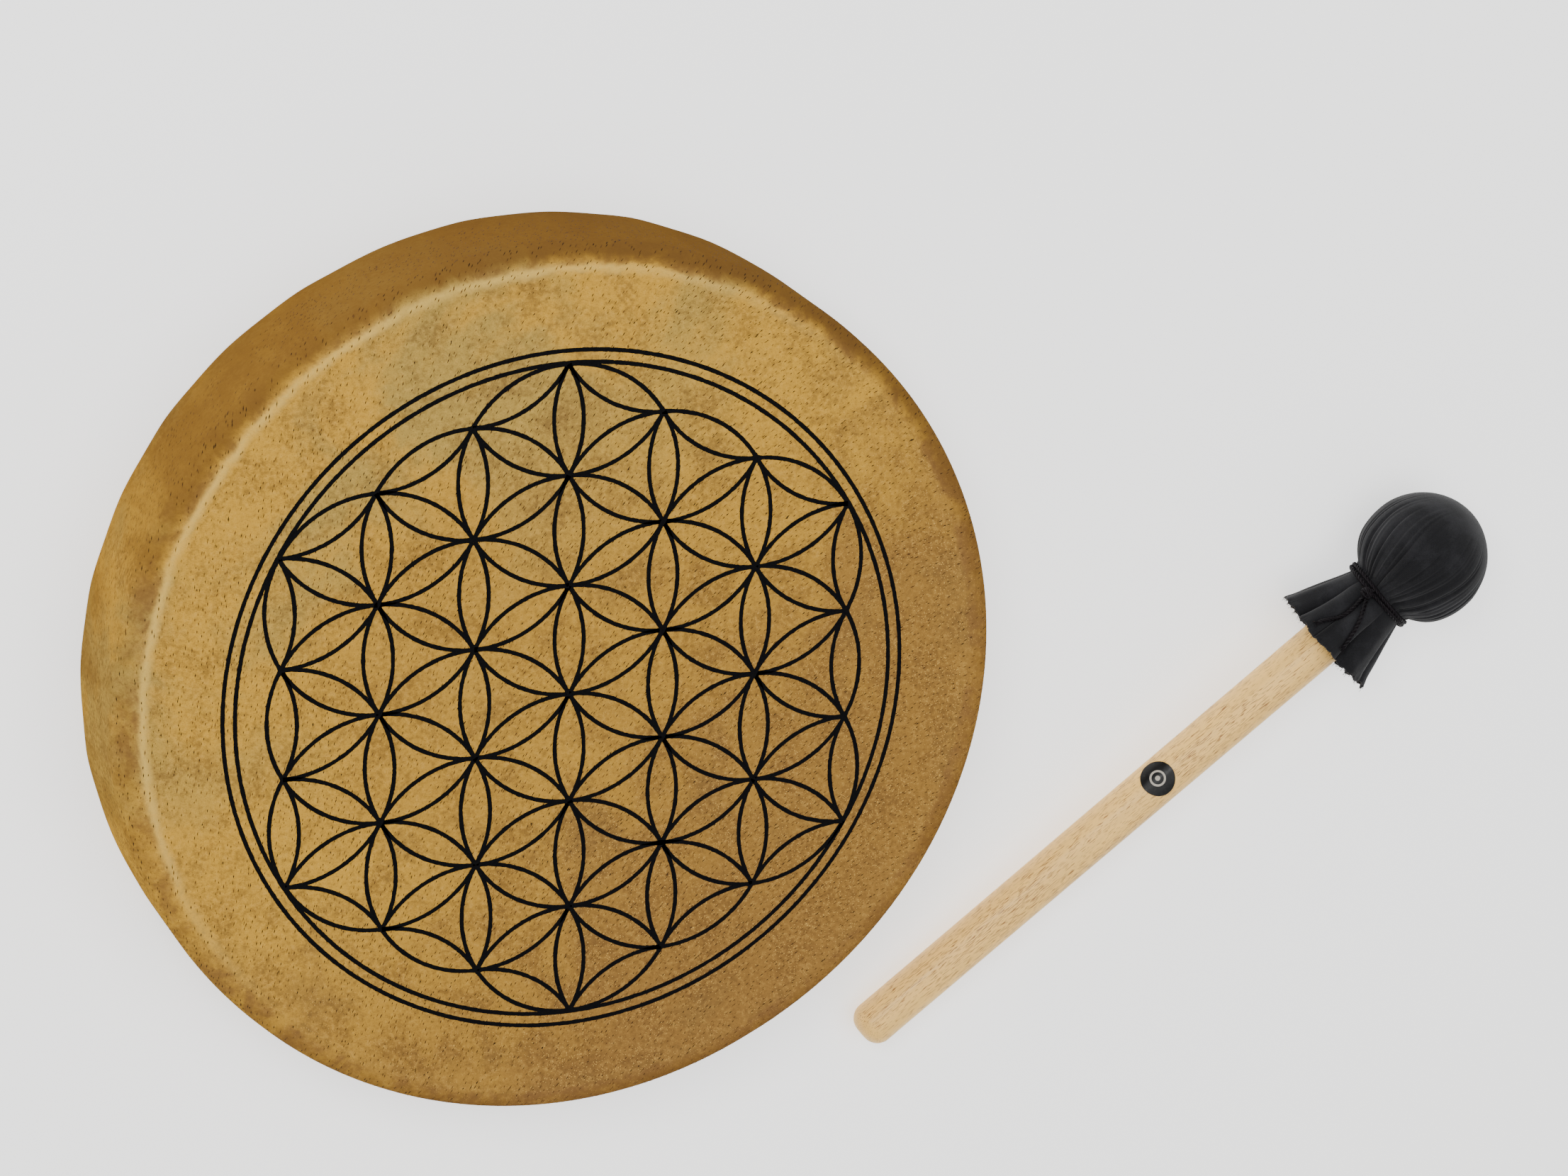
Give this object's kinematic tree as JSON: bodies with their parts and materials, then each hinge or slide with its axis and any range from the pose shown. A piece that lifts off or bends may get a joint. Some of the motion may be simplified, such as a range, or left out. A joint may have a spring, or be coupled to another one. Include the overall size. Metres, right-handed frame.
{
  "type": "frame drum",
  "caption": "Round single-headed frame drum with a laced goatskin head, a printed circle pattern and a central hand ring, with its padded beater beside it.",
  "frame": {"origin": "on the drum's axis, in the plane of the flat of skin that the drum rests on", "axes": "+Z is the drum's axis and points out of the playing head, +X points from the drum towards the beater's side, +Y is up on the print"},
  "size_m": [0.6653, 0.4117, 0.0601],
  "materials": {
    "hoop_wood": "oiled ash plies",
    "goatskin": "amber goatskin with hair follicle marks, satin",
    "black_ink": "thin matt screen ink",
    "rawhide_lace": "twisted rawhide, satin",
    "ring_steel": "zinc plated",
    "ring_leather": "dark brown, waxed",
    "handle_wood": "pale open-pored hardwood, oiled",
    "badge": "black sticker",
    "core_wood": "turned, bare",
    "padding_fleece": "wool felt",
    "cover_cloth": "black brushed stretch cloth",
    "tie_cord": "black twisted cord"
  },
  "bodies": {
    "drum": {"hoop_outer_ply": "hoop_wood", "hoop_middle_ply": "hoop_wood", "hoop_inner_ply": "hoop_wood", "goatskin_head": "goatskin", "printed_design": "black_ink", "lace": "rawhide_lace", "lace_knot": "rawhide_lace", "ring_core": "ring_steel", "ring_cover": "ring_leather"},
    "beater": {"beater_handle": "handle_wood", "handle_badge": "badge", "head_core": "core_wood", "head_padding": "padding_fleece", "head_cover": "cover_cloth", "tie_cord": "tie_cord", "tie_knot": "tie_cord", "tie_tail_left": "tie_cord", "tie_tail_right": "tie_cord"}
  },
  "joints": [
    {"name": "beater_lift", "type": "slide", "parent": "drum", "child": "beater", "axis": [0, 0, 1], "range_m": [0, 0.25]}
  ]
}
